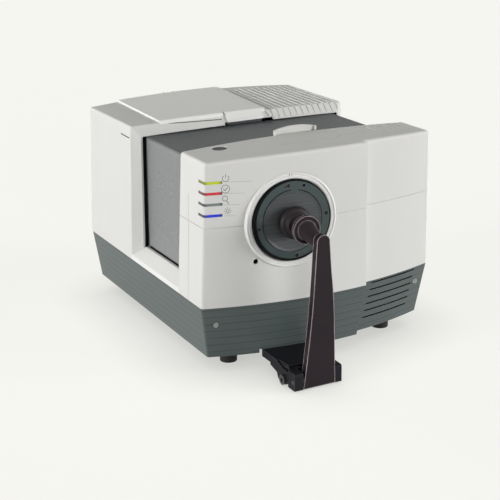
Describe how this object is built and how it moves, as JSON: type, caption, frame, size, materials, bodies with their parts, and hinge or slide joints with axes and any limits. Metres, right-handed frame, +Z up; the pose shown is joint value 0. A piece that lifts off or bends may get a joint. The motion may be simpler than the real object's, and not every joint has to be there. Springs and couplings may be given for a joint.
{
  "type": "benchtop colorimeter",
  "caption": "benchtop colour-measuring sphere instrument with a front sample port and spring clamp arm, a sliding compartment cover and a flush rear lid",
  "frame": {"origin": "on the bench under the middle of the whole footprint, clamp included", "axes": "+Z up, +X to the right along the front, +Y from the sample port to the back"},
  "size_m": [0.4, 0.556, 0.34],
  "materials": {
    "white_housing": "fine-textured off-white housing plastic",
    "dark_base": "fine-textured dark green-grey plastic",
    "dark_cover": "dark grey powder coat with fine speckle",
    "light_grey": "light grey moulded plastic",
    "feet": "black rubber",
    "screws": "plain steel",
    "black_screws": "black oxide",
    "springs": "spring steel",
    "sheet_metal": "zinc-plated sheet",
    "deck_metal": "plain sheet",
    "sphere_metal": "machined, white inside",
    "port_ring": "satin dark green-grey",
    "port_plate": "satin dark steel",
    "clamp_arm": "satin brown-black",
    "clamp_black": "satin black",
    "clamp_pad": "black",
    "lens_glass": "clear",
    "lamp_glass": "clear",
    "optic_black": "flat black",
    "board": "green laminate",
    "black_plastic": "black",
    "button": "dark grey",
    "indicator_yellow": "translucent yellow-green",
    "indicator_red": "translucent red",
    "indicator_clear": "translucent grey",
    "indicator_blue": "translucent blue"
  },
  "bodies": {
    "chassis": {"base_feet": "feet", "base_screws": "screws", "base_tub": "dark_base", "button_collar": "black_plastic", "button_spring": "springs", "button_switch": "black_plastic", "cell_holder": "optic_black", "circuit_board": "board", "clamp_block": "clamp_black", "clamp_bracket": "clamp_black", "clamp_pin": "screws", "clamp_screws": "black_screws", "clamp_spring": "springs", "compartment_floor": "optic_black", "cover_rails": "black_plastic", "deck_plate": "deck_metal", "fan_frame": "black_plastic", "flash_lamp": "lamp_glass", "front_bulkhead": "sheet_metal", "front_cover_lower": "white_housing", "front_cover_upper": "white_housing", "indicator_blue": "indicator_blue", "indicator_clear": "indicator_clear", "indicator_red": "indicator_red", "indicator_yellow": "indicator_yellow", "lamp_house": "sphere_metal", "lens": "lens_glass", "lens_barrel": "optic_black", "lens_wall": "sheet_metal", "lid_hinges": "screws", "port_bezel": "white_housing", "port_plate": "port_plate", "port_ring": "port_ring", "power_inlet": "black_plastic", "power_supply": "sheet_metal", "rear_housing": "white_housing", "rear_sockets": "black_plastic", "ring_screws": "screws", "service_panel": "white_housing", "side_posts": "white_housing", "side_sills": "white_housing", "spectrometer_box": "optic_black", "spectrometer_lid": "optic_black", "spectrometer_optics": "optic_black", "sphere_front": "sphere_metal", "sphere_rear": "sphere_metal", "sphere_screws": "screws", "sphere_wall_plate": "sheet_metal", "switch_body": "black_plastic"},
    "clamp": {"clamp_arm": "clamp_arm", "clamp_neck": "clamp_arm", "pad_spring": "springs"},
    "pad": {"clamp_pad": "clamp_pad"},
    "cover": {"compartment_cover": "dark_cover", "cover_grip": "light_grey"},
    "lid": {"rear_lid": "white_housing"},
    "button": {"read_button": "button"},
    "rocker": {"power_rocker": "black_plastic"},
    "rotor": {"fan_rotor": "black_plastic"}
  },
  "joints": [
    {"name": "clamp_swing", "type": "hinge", "parent": "chassis", "child": "clamp", "pos_m": [-0.067, -0.2725, 0.014], "axis": [1, 0, 0], "range_deg": [0, 80], "stiffness_Nm_per_rad": 0.6, "springref_deg": -80.21},
    {"name": "pad_plunge", "type": "slide", "parent": "clamp", "child": "pad", "axis": [-0.0958, -0.9954, 0], "range_m": [0, 0.005], "stiffness_N_per_m": 400, "springref_m": -0.004, "deforming": ["pad_spring"]},
    {"name": "cover_slide", "type": "slide", "parent": "chassis", "child": "cover", "axis": [0, 1, 0], "range_m": [0, 0.16]},
    {"name": "lid_hinge", "type": "hinge", "parent": "chassis", "child": "lid", "pos_m": [0, 0.27, 0.33476], "axis": [-1, 0, 0], "range_deg": [0, 95]},
    {"name": "button_press", "type": "slide", "parent": "chassis", "child": "button", "axis": [0, 0, -1], "range_m": [0, 0.002], "stiffness_N_per_m": 500, "springref_m": -0.002, "deforming": ["button_spring"]},
    {"name": "rocker_tilt", "type": "hinge", "parent": "chassis", "child": "rocker", "pos_m": [0.092, 0.26931, 0.07115], "axis": [1, 0, 0], "range_deg": [0, 14]},
    {"name": "fan_spin", "type": "hinge", "parent": "chassis", "child": "rotor", "pos_m": [-0.12, 0.26291, 0.07115], "axis": [0, 1, 0], "continuous": true}
  ]
}
